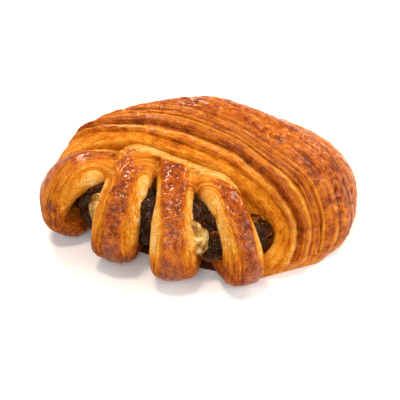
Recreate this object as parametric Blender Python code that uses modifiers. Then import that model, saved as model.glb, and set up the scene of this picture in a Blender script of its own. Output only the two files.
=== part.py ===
"""Bear claw danish: laminated dough folded over a filling, its front edge slashed into toes.

The back of the pastry is a dome of rolled laminations, the palm.  Its front
edge, the lip, lies on a collar of dough that is slashed into four toes.  Each
toe arches over the filling and down to the table.  The filling shows in the
slashes.  Metres, +Z up, the part rests on z = 0, its longest side is along X.
"""

import math

import bmesh
import bpy
import numpy as np

MM = 0.001

# Palm, one row a station, from its back left end over the top to its front
# right end.  In each row, in millimetres: the lip (x, y, z); the share of the
# way back where the crest is, and its height; the base outline (x, y); how far
# the inner wall stands forward of the lip, under the collar.
PALM_STATIONS = (
    ((-66, 6, 5), (0.50, 9), (-49, 35), 0),
    ((-68, 5, 15), (0.50, 21), (-48, 38), 0),
    ((-63, 8, 28), (0.50, 33), (-43, 42), 3),
    ((-48, 9, 36), (0.50, 40), (-29, 45), 9),
    ((-28, 6, 41), (0.50, 44), (-10, 47), 12),
    ((-7, -3, 41), (0.50, 48), (13, 46), 12),
    ((11, -12, 38), (0.50, 46), (37, 37), 12),
    ((24, -20, 32), (0.45, 41), (61, 26), 8),
    ((32, -25, 23), (0.42, 35), (70, 10), 1),
    ((31.5, -29, 15), (0.42, 25), (67, -8), 0),
    ((26, -34, 10), (0.42, 15), (62, -17), 0),
    ((18, -37, 6), (0.42, 8), (57, -21), 0),
)
PALM_STEPS = 110
INSIDE_POINTS = 5
WAIST_HEIGHT = 10       # where the base bulges furthest out
BASE_TUCK = 5           # how far it draws in again below that
END_CAP = ((0.92, 0.9), (0.72, 1.9), (0.4, 2.6))    # its rounded ends: share of the size, how far out
END_MIDDLE = 3.5        # height of the middle of the caps
END_BULGE = (2, 5)      # how far its left and right ends swell out
LIP_ROLL = 5            # height of the rounded edge of the lip
BELOW_TABLE = 1.0       # everything is made this much too deep, then cut flat

# Laminations of the palm: the distance of each crest from the lip, its half
# width and its height, at the middle of the palm.
RIDGES = (
    (5.2, 3.0, 1.9),
    (11.6, 2.9, 1.9),
    (16.4, 1.8, 1.2),
    (21.5, 3.0, 1.8),
    (29.5, 3.8, 1.6),
    (37.5, 3.6, 1.2),
    (46.0, 4.2, 0.9),
)
RIDGE_FOOT = 12         # height below which the ridges die away
RIDGE_SPREAD = 0.28     # how much further apart the ridges are at the palm's ends

# Toes: hub (x, y), direction from +X in degrees, reach from the hub, height of
# the crown, height where it is furthest out, width, share of that width at the
# collar and at the foot, thickness, last angle round the hub in degrees.
TOES = {
    "toe_1": ((-43.5, -1.5), 191, 27.2, 39, 14, 25, (0.80, 1.00), 13, -75),
    "toe_2": ((-26.7, 1), 254, 39, 41, 13, 20.5, (0.80, 0.80), 12, -78),
    "toe_3": ((-12.2, -6), 275.5, 41, 40, 12, 21.5, (0.66, 0.98), 12, -78),
    "toe_4": ((4.0, -11), 294.5, 40.8, 38.5, 11, 18.5, (0.74, 0.95), 12, -78),
}
TOE_START = 130         # degrees round the hub, under the lip
COLLAR_END = 77         # where the slashes begin
COLLAR_THICK = 7.5
COLLAR_DROP = 0.5       # how far it lies below the crowns

# Filling: centre line, half width and half height.
FILLING_ROUTE = (
    (-52, -9, 16), (-38, -12, 17), (-22, -20, 17),
    (-2, -27, 17), (16, -28, 16), (30, -24, 16),
)
FILLING_SIZE = (11.5, 13.2)
FILLING_RIGHT_END = 0.55    # size at its right end, of the size in the middle
CUSTARD_ROUTE = (
    (-51, -14, 16), (-43, -16.8, 19), (-33, -17, 16.5), (-23, -20.5, 14.5),
    (-10, -28, 17), (-1, -32.5, 20), (6, -33, 17), (12, -30, 14),
)
CUSTARD_SIZE = (4.8, 5.8)
GAP = 0.3               # left between the dough and the filling
VEIN_GAP = 0.5          # left round the custard, which bends more
TUBE_RINGS = 32
TUBE_SIDES = 16

# Underside between the toes and the palm.
FLOOR_OUTLINE = (
    (-58, 0), (-42, -14), (-20, -25), (10, -35), (30, -34), (54, -16),
    (62, 6), (50, 24), (20, 38), (-8, 40), (-34, 34), (-56, 14),
)
FLOOR_TOP = 4

MERGE_STEP = 1.3        # size of the grid the pieces of dough are merged on
DOUGH_FACES = 4700      # what the merged dough is thinned to, before it is cut


def spline(points, count):
    """Points at even steps along a smooth curve through the given rows."""
    rows = np.asarray(points, float)
    rows = np.vstack([2 * rows[0] - rows[1], rows, 2 * rows[-1] - rows[-2]])
    at = np.linspace(0, len(rows) - 3, count)
    i = np.minimum(at.astype(int), len(rows) - 4)
    t = (at - i)[:, None]
    a, b, c, d = rows[i], rows[i + 1], rows[i + 2], rows[i + 3]
    bend = (2 * a - 5 * b + 4 * c - d) * t**2 + (3 * b - a - 3 * c + d) * t**3
    return 0.5 * (2 * b + (c - a) * t + bend)


def link(name, mesh):
    obj = bpy.data.objects.new(name, mesh)
    bpy.context.scene.collection.objects.link(obj)
    return obj


def loft(name, rings):
    """A closed solid through rings of points in millimetres, its two ends filled."""
    bm = bmesh.new()
    grid = [[bm.verts.new(p) for p in np.asarray(ring) * MM] for ring in rings]
    around = len(grid[0])
    for low, high in zip(grid, grid[1:]):
        for k in range(around):
            n = (k + 1) % around
            bm.faces.new((low[k], low[n], high[n], high[k]))
    bm.faces.new(reversed(grid[0]))
    bm.faces.new(grid[-1])
    bmesh.ops.triangulate(bm, faces=bm.faces)
    bmesh.ops.recalc_face_normals(bm, faces=bm.faces)
    mesh = bpy.data.meshes.new(name)
    bm.to_mesh(mesh)
    bm.free()
    return link(name, mesh)


def palm_outside(lip, crest, base, spread):
    """The outside of one section of the palm, as distances back from the lip and heights."""
    length = math.dist(lip[:2], base)
    share, top = crest
    waist = min(WAIST_HEIGHT, 0.5 * top)
    points = []
    for s in np.linspace(0, 1, 60, endpoint=False):
        points.append((share * length * s, lip[2] + (top - lip[2]) * math.sin(0.5 * math.pi * s)))
    for a in np.linspace(0.5 * math.pi, 0, 80, endpoint=False):
        points.append((length * (share + (1 - share) * math.cos(a)), waist + (top - waist) * math.sin(a)))
    for a in np.linspace(0, -0.5 * math.pi, 5):
        depth = waist + BELOW_TABLE
        points.append((length - BASE_TUCK * (1 - math.cos(a)), waist + depth * math.sin(a)))
    return raise_ridges(np.array(points), spread)


def raise_ridges(points, spread):
    """Move the points outward where a ridge passes, by their distance from the lip."""
    steps = np.gradient(points, axis=0)
    steps /= np.linalg.norm(steps, axis=1)[:, None]
    outward = np.stack([-steps[:, 1], steps[:, 0]], axis=1)
    travelled = np.r_[0, np.cumsum(np.linalg.norm(np.diff(points, axis=0), axis=1))]
    travelled = travelled / spread
    lift = np.zeros(len(points))
    for centre, half, height in RIDGES:
        x = np.clip(np.abs(travelled - centre) / half, 0, 1)
        lift = np.maximum(lift, height * np.cos(0.5 * math.pi * x) ** 0.7)
    lift *= np.clip(points[:, 1] / RIDGE_FOOT, 0, 1)
    return points + outward * lift[:, None]


def palm_section(lip, crest, base, forward, spread, bulge):
    """One closed ring of the palm: its outside, then its inner wall and the roll of the lip."""
    lip = np.array(lip, float)
    back = np.array([base[0] - lip[0], base[1] - lip[1], 0])
    back /= np.linalg.norm(back)
    z = lip[2]
    roll = min(LIP_ROLL, 0.45 * z)
    inside = [
        (-forward + 1, -BELOW_TABLE),
        (-forward, 0.45 * (z - 2 * roll)),
        (-0.8 * forward, 0.9 * (z - 2 * roll)),
        (-0.25 * roll, z - 1.3 * roll),
        (-0.3 * roll, z - 0.6 * roll),
    ]
    flat = np.vstack([palm_outside(lip, crest, base, spread), inside])
    ring = lip * [1, 1, 0] + back * flat[:, :1] + np.array([0, 0, 1]) * flat[:, 1:]
    along = np.clip(flat[:, :1] / math.dist(lip[:2], base), 0, 1)
    return ring + np.array([back[1], -back[0], 0]) * bulge * np.sin(math.pi * along)


def make_palm():
    lips, crests, bases = (spline([row[k] for row in PALM_STATIONS], PALM_STEPS) for k in range(3))
    forwards = spline([(row[3],) for row in PALM_STATIONS], PALM_STEPS)[:, 0]
    ends = np.abs(np.linspace(-1, 1, PALM_STEPS))
    spreads = 1 + RIDGE_SPREAD * ends**2
    near = np.clip(np.linspace(0, 1, PALM_STEPS) * 5 - 4, 0, 1) ** 2
    bulges = END_BULGE[1] * near - END_BULGE[0] * near[::-1]
    rings = [palm_section(*row) for row in zip(lips, crests, bases, forwards, spreads, bulges)]
    middle = rings[PALM_STEPS // 2].mean(axis=0)
    return loft("palm", end_cap(rings[0], middle)[::-1] + rings + end_cap(rings[-1], middle))


def end_cap(last, middle):
    """Rings that round off an end of the palm, each smaller and further out than the one before."""
    crest = last[:-INSIDE_POINTS]
    chord = crest[-1] - crest[0]
    outward = np.array([-chord[1], chord[0], 0])
    outward *= np.sign(outward @ (last.mean(axis=0) - middle)) / np.linalg.norm(outward)
    hub = np.array([*last.mean(axis=0)[:2], END_MIDDLE])
    return [hub + (last - hub) * share + outward * out for share, out in END_CAP]


def ease(low, high, value):
    """0 below low and 1 above high, with a smooth rise between."""
    t = min(1.0, max(0.0, (value - low) / (high - low)))
    return t * t * (3 - 2 * t)


def arch(hub, azimuth, reach, crown, knee, thick, angle):
    """Middle of a toe's thickness at one angle round its hub, and the direction out of its back."""
    out = np.array([math.cos(math.radians(azimuth)), math.sin(math.radians(azimuth)), 0])
    up = np.array([0, 0, 1.0])
    rise = crown - knee if angle > 0 else knee + 0.5 * BELOW_TABLE
    across = (reach - thick / 2) * math.cos(angle)
    above = (rise - thick / 2) * math.sin(angle)
    middle = np.array([*hub, knee]) + out * across + up * above
    normal = out * across / (reach - thick / 2) ** 2 + up * above / (rise - thick / 2) ** 2
    return middle, normal / np.linalg.norm(normal)


def make_toe(name, hub, azimuth, reach, crown, knee, width, ends, thick, last):
    side = np.array([-math.sin(math.radians(azimuth)), math.cos(math.radians(azimuth)), 0])
    rings = []
    for s in np.linspace(0, 1, 34):
        angle = math.radians(TOE_START + (last - TOE_START) * s)
        middle, normal = arch(hub, azimuth, reach, crown, knee, thick, angle)
        tip = max(0.3, math.sqrt(1 - max(0.0, (s - 0.86) / 0.14) ** 2))
        neck = 1 - (1 - ends[0]) * (1 - ease(0.2, 0.6, s))
        foot = 1 - (1 - ends[1]) * ease(0.6, 0.9, s)
        half = 0.5 * width * neck * foot * tip
        deep = 0.5 * thick * tip
        ring = []
        for p in np.linspace(0, 2 * math.pi, 24, endpoint=False):
            across = math.copysign(abs(math.cos(p)) ** 0.75, math.cos(p))
            above = math.copysign(abs(math.sin(p)) ** 0.85, math.sin(p))
            ring.append(middle + side * half * across + normal * deep * above)
        rings.append(ring)
    return loft(name, rings)


def make_collar():
    """The undivided dough above the slashes, from the first toe to past the last."""
    rows = np.array([[*hub, *facts[:4]] for hub, *facts in TOES.values()], float)
    before = 1.3 * rows[0] - 0.3 * rows[1]
    after = 1.5 * rows[3] - 0.5 * rows[2]
    rings = []
    for x, y, azimuth, reach, crown, knee in spline([before, *rows, after], 50):
        top, bottom = [], []
        for angle in np.radians(np.linspace(135, COLLAR_END, 9)):
            middle, normal = arch((x, y), azimuth, reach, crown - COLLAR_DROP, knee, COLLAR_THICK, angle)
            top.append(middle + normal * COLLAR_THICK / 2)
            bottom.append(middle - normal * COLLAR_THICK / 2)
        rings.append(top + bottom[::-1])
    return loft("collar", rings)


def make_floor():
    outline = spline(FLOOR_OUTLINE + FLOOR_OUTLINE[:1], 60)[:-1]
    rings = []
    for z, scale in ((-BELOW_TABLE, 0.97), (1.5, 1.0), (FLOOR_TOP, 0.96)):
        rings.append(np.c_[outline * scale, np.full(len(outline), z)])
    return loft("floor", rings)


def make_tube(name, route, size, right_end=1.0, grown=0.0):
    """A soft lumpy tube along a route, rounded at both ends."""
    line = spline(route, TUBE_RINGS)
    rings = []
    for i, (p, d) in enumerate(zip(line, np.gradient(line, axis=0))):
        d = d / np.linalg.norm(d)
        side = np.cross(d, [0, 0, 1.0])
        side /= np.linalg.norm(side)
        up = np.cross(side, d)
        s = i / (len(line) - 1)
        p = p + d * 2 * grown * ((s == 1) - (s == 0))
        end = min(1.0, 8 * min(s, 1 - s) + 0.12) ** 0.5
        taper = 1 + (right_end - 1) * max(0.0, 2 * s - 1) ** 1.5
        ring = []
        for a in np.linspace(0, 2 * math.pi, TUBE_SIDES, endpoint=False):
            lump = 1 + 0.035 * math.sin(3 * a + 14 * s) + 0.03 * math.sin(2 * a - 23 * s)
            wide, high = (half * end * taper * lump + grown for half in size)
            ring.append(p + side * wide * math.cos(a) + up * high * math.sin(a))
        rings.append(ring)
    return loft(name, rings)


def apply(obj, kind, **settings):
    bpy.context.view_layer.objects.active = obj
    modifier = obj.modifiers.new(kind.lower(), kind)
    for key, value in settings.items():
        setattr(modifier, key, value)
    bpy.ops.object.modifier_apply(modifier=modifier.name)


def cut(obj, *cutters):
    for cutter in cutters:
        apply(obj, "BOOLEAN", operation="DIFFERENCE", object=cutter, solver="EXACT")
    apply(obj, "TRIANGULATE")


def drop_crumbs(obj):
    """Delete the slivers a cut leaves loose beside the main solid."""
    bm = bmesh.new()
    bm.from_mesh(obj.data)
    left = set(bm.verts)
    islands = []
    while left:
        island = {left.pop()}
        edge = list(island)
        while edge:
            near = {e.other_vert(v) for v in edge for e in v.link_edges} - island
            island |= near
            edge = list(near)
        left -= island
        islands.append(island)
    islands.sort(key=len)
    bmesh.ops.delete(bm, geom=[v for island in islands[:-1] for v in island], context="VERTS")
    bm.to_mesh(obj.data)
    bm.free()


def make_box(name, low, high):
    rings = []
    for z in (low[2], high[2]):
        rings.append([(low[0], low[1], z), (high[0], low[1], z), (high[0], high[1], z), (low[0], high[1], z)])
    return loft(name, rings)


def merge(objects, name):
    """One skin round all the objects, its creases softened."""
    bpy.ops.object.select_all(action="DESELECT")
    for obj in objects:
        obj.select_set(True)
    bpy.context.view_layer.objects.active = objects[0]
    bpy.ops.object.join()
    whole = bpy.context.view_layer.objects.active
    whole.name = name
    apply(whole, "REMESH", mode="VOXEL", voxel_size=MERGE_STEP * MM)
    apply(whole, "SMOOTH", factor=0.5, iterations=1)
    apply(whole, "DECIMATE", ratio=DOUGH_FACES / (2 * len(whole.data.polygons)))
    apply(whole, "TRIANGULATE")
    return whole


def clear_scene():
    for obj in list(bpy.data.objects):
        bpy.data.objects.remove(obj)


def paint(obj, colour, roughness):
    material = bpy.data.materials.new(obj.name)
    material.use_nodes = True
    shader = material.node_tree.nodes["Principled BSDF"]
    shader.inputs["Base Color"].default_value = (*colour, 1)
    shader.inputs["Roughness"].default_value = roughness
    shader.inputs["Metallic"].default_value = 0
    obj.data.materials.clear()
    obj.data.materials.append(material)


def centre(objects):
    """Put the middle of the whole part over the origin."""
    points = np.array([v.co[:] for obj in objects for v in obj.data.vertices])
    shift = -(points.min(axis=0) + points.max(axis=0)) / 2
    for obj in objects:
        for v in obj.data.vertices:
            v.co.x += shift[0]
            v.co.y += shift[1]
    print("moved by", shift[:2] / MM)


def put_in_collections(parts, cutters):
    scene = bpy.context.scene.collection
    for title, members in (("danish_pastry", parts), ("cutters", cutters)):
        collection = bpy.data.collections.new(title)
        scene.children.link(collection)
        for obj in members:
            scene.objects.unlink(obj)
            collection.objects.link(obj)
    for obj in cutters:
        obj.hide_render = True
        obj.display_type = "WIRE"


def main():
    clear_scene()
    toes = [make_toe(name, *facts) for name, facts in TOES.items()]
    dough = merge([make_palm(), make_collar(), make_floor(), *toes], "dough")
    below = make_box("table_cutter", (-90, -70, -20), (90, 70, 0))
    tunnel = make_tube("tunnel_cutter", FILLING_ROUTE, FILLING_SIZE, FILLING_RIGHT_END, GAP)
    vein = make_tube("custard_cutter", CUSTARD_ROUTE, CUSTARD_SIZE, grown=VEIN_GAP)
    cut(dough, below, tunnel, vein)
    filling = make_tube("raisin_filling", FILLING_ROUTE, FILLING_SIZE, FILLING_RIGHT_END)
    cut(filling, vein)
    custard = make_tube("custard", CUSTARD_ROUTE, CUSTARD_SIZE)
    parts = [dough, filling, custard]
    for obj in parts:
        drop_crumbs(obj)
    cutters = [below, tunnel, vein]
    centre(parts)
    paint(dough, (0.48, 0.19, 0.045), 0.4)
    paint(filling, (0.02, 0.008, 0.004), 0.3)
    paint(custard, (0.62, 0.42, 0.16), 0.45)
    put_in_collections(parts, cutters)
    for obj in parts:
        print(obj.name, len(obj.data.polygons), [round(v / MM, 1) for v in obj.dimensions])


main()
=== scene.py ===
"""Looks of the bear claw danish: flaky ridged crust, slashed toes and the dark filling between them."""

import math

import bmesh
import bpy
import numpy as np
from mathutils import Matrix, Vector
from mathutils.bvhtree import BVHTree


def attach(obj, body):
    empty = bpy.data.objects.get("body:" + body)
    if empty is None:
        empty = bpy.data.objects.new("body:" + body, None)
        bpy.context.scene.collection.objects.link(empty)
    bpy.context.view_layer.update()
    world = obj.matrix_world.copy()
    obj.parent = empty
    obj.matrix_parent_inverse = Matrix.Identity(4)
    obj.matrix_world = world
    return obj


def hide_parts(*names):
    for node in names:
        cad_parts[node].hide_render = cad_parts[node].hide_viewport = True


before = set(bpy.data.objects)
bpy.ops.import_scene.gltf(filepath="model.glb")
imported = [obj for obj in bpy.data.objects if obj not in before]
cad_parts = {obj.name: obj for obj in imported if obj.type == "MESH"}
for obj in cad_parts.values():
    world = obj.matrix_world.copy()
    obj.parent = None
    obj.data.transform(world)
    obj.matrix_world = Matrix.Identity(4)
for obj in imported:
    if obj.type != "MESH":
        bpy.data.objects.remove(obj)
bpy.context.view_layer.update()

MM = 0.001
SHIFT = (0.31551, 1.18697, 0.0)     # from the shape's own coordinates to the frame's, in millimetres

# ---------------- the shape
# Lengths are in millimetres and angles in degrees.  x runs to the right, y to the
# back and z up from the table.  Sections of the palm from its left end to its
# right: a point of the lip, the crest's share of the way back and its height, the
# foot, and how far the wall under the lip reaches forwards.
PALM_STATIONS = (
    ((-66, 6, 5), (0.50, 9), (-49, 35), 0),
    ((-68, 5, 15), (0.50, 21), (-48, 38), 0),
    ((-63, 8, 28), (0.50, 33), (-43, 42), 3),
    ((-48, 9, 36), (0.50, 40), (-29, 45), 9),
    ((-28, 6, 41), (0.50, 44), (-10, 47), 12),
    ((-7, -3, 41), (0.50, 48), (13, 46), 12),
    ((11, -12, 38), (0.50, 46), (37, 37), 12),
    ((24, -20, 32), (0.45, 41), (61, 26), 8),
    ((32, -25, 23), (0.42, 35), (70, 10), 1),
    ((31.5, -29, 15), (0.42, 25), (67, -8), 0),
    ((26, -34, 10), (0.42, 15), (62, -17), 0),
    ((18, -37, 6), (0.42, 8), (57, -21), 0),
)
PALM_STEPS = 390        # sections along the palm
PALM_ROWS = 225         # points from the lip over the top to the table
INSIDE_ROWS = 20        # points from the table up the inner wall to the lip
PALM_LENGTH = 150       # along the lip, which the patterns along it are scaled by
WAIST_HEIGHT = 10       # where the palm reaches furthest back
BASE_TUCK = 5           # how far its foot goes in below that
# Rings that round off each end of the palm: their size as a share of the end's,
# and how far out they lie.
END_CAP = ((0.98, 0.4), (0.92, 0.9), (0.83, 1.45), (0.72, 1.9), (0.56, 2.3), (0.4, 2.6), (0.2, 2.75))
END_MIDDLE = 3.5        # height of the middle of a cap
END_BULGE = (2, 5)      # how far the left and the right end swell outwards
LIP_ROLL = 5            # how far the lip is rolled under
LEFT_HUB = (-55, 21)    # middle of the left end
LEFT_TUCK = 4           # how far the foot of the left end's front is drawn in
BELOW_TABLE = 1.0       # how far shapes reach below the table before they are flattened on it
RIDGE_SPREAD = 0.28     # how much wider the ridges are spread at the ends than in the middle

# Each toe is an arch round a hub: the hub, the azimuth it points at, its reach, the
# heights of its crown and its knee, its width, the shares of that at its start and
# its end, its thickness, and the angle round the hub at which it ends.
TOES = {
    "toe_1": ((-43.5, -1.5), 191, 27.2, 39, 14, 25, (0.80, 1.00), 13, -75),
    "toe_2": ((-26.7, 1), 254, 39, 41, 13, 20.5, (0.93, 0.80), 12, -78),
    "toe_3": ((-12.2, -6), 275.5, 41, 40, 12, 21.5, (0.76, 0.98), 12, -78),
    "toe_4": ((4.0, -11), 294.5, 40.8, 38.5, 11, 18.5, (0.88, 0.95), 12, -78),
}
TOE_START = 130         # angle round the hub, under the palm's lip
# How far each toe's start lies to the right of its middle line.
NECK_SHIFTS = {"toe_1": 0.0, "toe_2": 0.6, "toe_3": 1.8, "toe_4": 0.6}
# Where a toe is slimmer on one side, or fuller if below 0: which side, the places
# along it between which it is, and by how much.
TRIMS = (
    ("toe_3", 1, 0.24, 0.86, 3.0), ("toe_3", -1, 0.28, 0.80, -1.4), ("toe_4", -1, 0.24, 0.66, 1.3),
    ("toe_4", 1, 0.26, 0.72, 1.2),
)
TOE_SUNK = 1.3          # how far a toe's start lies under the collar's skin
TOE_RINGS = 200
TOE_SIDES = 120
TOE_LENGTH = 95         # over its back, which the patterns along it are scaled by
COLLAR_END = 88         # angle round the hub, where the slashes begin
COLLAR_THICK = 7.5
COLLAR_DROP = 0.5       # how far the collar lies below the toes' crowns

# The filling and the custard: middle lines from left to right, and half their
# widths and heights.
FILLING_ROUTE = (
    (-52, -9, 17), (-38, -12, 18.5), (-22, -19, 20.0),
    (-2, -27, 18.5), (16, -28, 17), (30, -24, 16.5),
)
FILLING_SIZE = (11.5, 13.2)
FILLING_RIGHT_END = 0.55        # its size there, as a share
CUSTARD_ROUTE = (
    (-46.2, -15.8, 18.6), (-41, -18.2, 20), (-33, -18, 17.5), (-23, -20.5, 14.5),
    (-11, -29.5, 17), (-5, -33.5, 20), (-1.0, -33, 19.5), (3.5, -27.5, 16), (12, -26.5, 14),
)
CUSTARD_SIZE = (5.5, 6.7)
# Where the custard stands taller: the place along it, how wide, and times as high.
CUSTARD_SWELLS = ((0.03, 0.08, 2.0), (0.62, 0.09, 1.6))
FLOOR_OUTLINE = (
    (-50, 0), (-40, -13), (-20, -24), (10, -34), (30, -34), (54, -16),
    (62, 6), (50, 24), (20, 38), (-8, 40), (-34, 32), (-50, 14),
)
FLOOR_TOP = 4           # thickness of the flat underside


def spline(points, count):
    """Points at even steps along a smooth curve through the given rows."""
    rows = np.asarray(points, float)
    rows = np.vstack([2 * rows[0] - rows[1], rows, 2 * rows[-1] - rows[-2]])
    at = np.linspace(0, len(rows) - 3, count)
    i = np.minimum(at.astype(int), len(rows) - 4)
    t = (at - i)[:, None]
    a, b, c, d = rows[i], rows[i + 1], rows[i + 2], rows[i + 3]
    bend = (2 * a - 5 * b + 4 * c - d) * t**2 + (3 * b - a - 3 * c + d) * t**3
    return 0.5 * (2 * b + (c - a) * t + bend)


def ease(low, high, value):
    """0 below low and 1 above high, with a smooth rise between."""
    t = np.clip((value - low) / (high - low), 0, 1)
    return t * t * (3 - 2 * t)


def lattice(x, y, z, seed):
    """A fixed number in -1..1 for each whole-numbered point."""
    h = (x * 374761393 + y * 668265263 + z * 1440662683 + seed * 974634777) & 0xFFFFFFFF
    h = ((h ^ (h >> 13)) * 1274126177) & 0xFFFFFFFF
    return ((h ^ (h >> 16)) & 0xFFFF) / 32767.5 - 1


def noise(x, y, z=0.0, seed=0):
    """Smooth noise in -1..1 whose lumps are one unit across."""
    x, y, z = np.broadcast_arrays(np.asarray(x, float), y, z)
    corner = [np.floor(a).astype(np.int64) for a in (x, y, z)]
    part = [a - c for a, c in zip((x, y, z), corner)]
    part = [p * p * (3 - 2 * p) for p in part]
    total = np.zeros(x.shape)
    for i in (0, 1):
        for j in (0, 1):
            for k in (0, 1):
                weight = (part[0] if i else 1 - part[0]) * (part[1] if j else 1 - part[1])
                weight = weight * (part[2] if k else 1 - part[2])
                total += weight * lattice(corner[0] + i, corner[1] + j, corner[2] + k, seed)
    return total


# ---------------- meshes
def write_field(mesh, title, values):
    """Keep a number or a triple at each point."""
    kind = "FLOAT_VECTOR" if values.ndim == 2 else "FLOAT"
    layer = mesh.attributes.get(title) or mesh.attributes.new(title, kind, "POINT")
    layer.data.foreach_set("vector" if values.ndim == 2 else "value", values.ravel())


def solid_of(name, points, faces, fields):
    """A mesh object from points in millimetres; fields are numbers or triples kept at each point."""
    mesh = bpy.data.meshes.new(name)
    mesh.from_pydata(((points + SHIFT) * MM).tolist(), [], faces)
    for title, values in fields.items():
        write_field(mesh, title, values)
    mesh.update()
    obj = bpy.data.objects.new(name, mesh)
    bpy.context.scene.collection.objects.link(obj)
    return obj


def skin_faces(rings, around):
    """Quads over a closed tube of rings, and a fan over each end to one point."""
    ring = np.arange(rings * around).reshape(rings, around)
    nxt = np.roll(ring, -1, axis=1)
    quads = np.stack([ring[:-1], nxt[:-1], nxt[1:], ring[1:]], axis=-1).reshape(-1, 4).tolist()
    first, last = rings * around, rings * around + 1
    fans = [[first, int(b), int(a)] for a, b in zip(ring[0], nxt[0])]
    fans += [[last, int(a), int(b)] for a, b in zip(ring[-1], nxt[-1])]
    return quads + fans


def with_poles(grid):
    """The grid's points in rows, then one point in the middle of each end."""
    flat = grid.reshape(-1, grid.shape[-1]) if grid.ndim == 3 else grid.ravel()
    poles = np.array([grid[0].mean(axis=0), grid[-1].mean(axis=0)])
    return np.concatenate([flat, poles])


def outward(grid, top):
    """Unit directions out of a closed tube of points, whose column top faces up in its middle."""
    along = np.gradient(grid, axis=0)
    around = np.roll(grid, -1, axis=1) - np.roll(grid, 1, axis=1)
    out = np.cross(around, along)
    out /= np.linalg.norm(out, axis=2, keepdims=True) + 1e-9
    return out * np.sign(out[len(grid) // 2, top, 2])


def face_outwards(obj):
    """Turn all faces of a closed mesh outwards."""
    bm = bmesh.new()
    bm.from_mesh(obj.data)
    bmesh.ops.recalc_face_normals(bm, faces=bm.faces)
    bm.to_mesh(obj.data)
    bm.free()


def closed_piece(name, grid, fields):
    """A piece from a closed tube of rings, with the fields of its points."""
    fields = {title: with_poles(values) for title, values in fields.items()}
    obj = solid_of(name, with_poles(grid), skin_faces(*grid.shape[:2]), fields)
    face_outwards(obj)
    return obj


# ---------------- the palm
def palm_outline(lip, crest, base, forward):
    """One section of the palm as distances back from the lip and heights: the wall from the table up to
    the lip, and the outline from the lip over the top to the table."""
    length = math.dist(lip[:2], base)
    share, top = crest
    z = lip[2]
    roll = min(LIP_ROLL, 0.45 * z)
    inner = spline((
        (-forward + 1, -BELOW_TABLE), (-forward, 0.45 * (z - 2 * roll)),
        (-0.8 * forward, 0.9 * (z - 2 * roll)), (-0.25 * roll, z - 1.3 * roll),
        (-0.3 * roll, z - 0.6 * roll), (0, z),
    ), 80)[:-1]
    s = np.linspace(0, 1, 60, endpoint=False)
    front = np.c_[share * length * s, z + (top - z) * np.sin(0.5 * math.pi * s)]
    a = np.linspace(0.5 * math.pi, 0, 120, endpoint=False)
    waist = min(WAIST_HEIGHT, 0.5 * top)
    back = np.c_[length * (share + (1 - share) * np.cos(a)), waist + (top - waist) * np.sin(a)]
    a = np.linspace(0, -0.5 * math.pi, 20)
    foot = np.c_[length - BASE_TUCK * (1 - np.cos(a)), waist + (waist + BELOW_TABLE) * np.sin(a)]
    return inner, np.vstack([front, back, foot])


def even_steps(line, count):
    """Points at equal distances along a line, and how far along each one is."""
    travelled = np.r_[0, np.cumsum(np.linalg.norm(np.diff(line, axis=0), axis=1))]
    at = np.linspace(0, travelled[-1], count)
    return np.c_[np.interp(at, travelled, line[:, 0]), np.interp(at, travelled, line[:, 1])], at


def palm_grid():
    """Points of the smooth palm as rings, with each point's place along the lip, 0 to 1, and its distance
    from it."""
    lips, crests, bases = (spline([row[k] for row in PALM_STATIONS], PALM_STEPS) for k in range(3))
    forwards = spline([(row[3],) for row in PALM_STATIONS], PALM_STEPS)[:, 0]
    places = np.linspace(0, 1, PALM_STEPS)
    forwards = forwards - LEFT_TUCK * (1 - ease(0.06, 0.18, places))
    spreads = 1 + RIDGE_SPREAD * (2 * places - 1) ** 2
    near = np.clip(places * 5 - 4, 0, 1) ** 2
    bulges = END_BULGE[1] * near - END_BULGE[0] * near[::-1]
    rings, apart = [], []
    for lip, crest, base, forward, spread, bulge in zip(lips, crests, bases, forwards, spreads, bulges):
        back = np.array([base[0] - lip[0], base[1] - lip[1], 0])
        back /= np.linalg.norm(back)
        inner, outer = palm_outline(lip, crest, base, forward)
        inner, under = even_steps(inner, INSIDE_ROWS)
        outer, over = even_steps(outer, PALM_ROWS)
        flat = np.vstack([inner[:-1], outer])
        ring = lip * [1, 1, 0] + back * flat[:, :1] + np.array([0, 0, 1]) * flat[:, 1:]
        share = np.clip(flat[:, :1] / math.dist(lip[:2], base), 0, 1)
        rings.append(ring + np.array([back[1], -back[0], 0]) * bulge * np.sin(math.pi * share))
        apart.append(np.r_[under[:-1] - under[-1], over] / spread)
    places = np.repeat(places[:, None], len(rings[0]), axis=1)
    return np.array(rings), places, np.array(apart)


def end_cap(last, middle):
    """Shrinking rings that close the palm beyond its last one, away from its middle."""
    chord = last[-1] - last[INSIDE_ROWS]
    out = np.array([-chord[1], chord[0], 0])
    out *= np.sign(out @ (last.mean(axis=0) - middle)) / np.linalg.norm(out)
    hub = np.array([*last.mean(axis=0)[:2], END_MIDDLE])
    return np.array([hub + (last - hub) * share + out * far for share, far in END_CAP])


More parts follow.
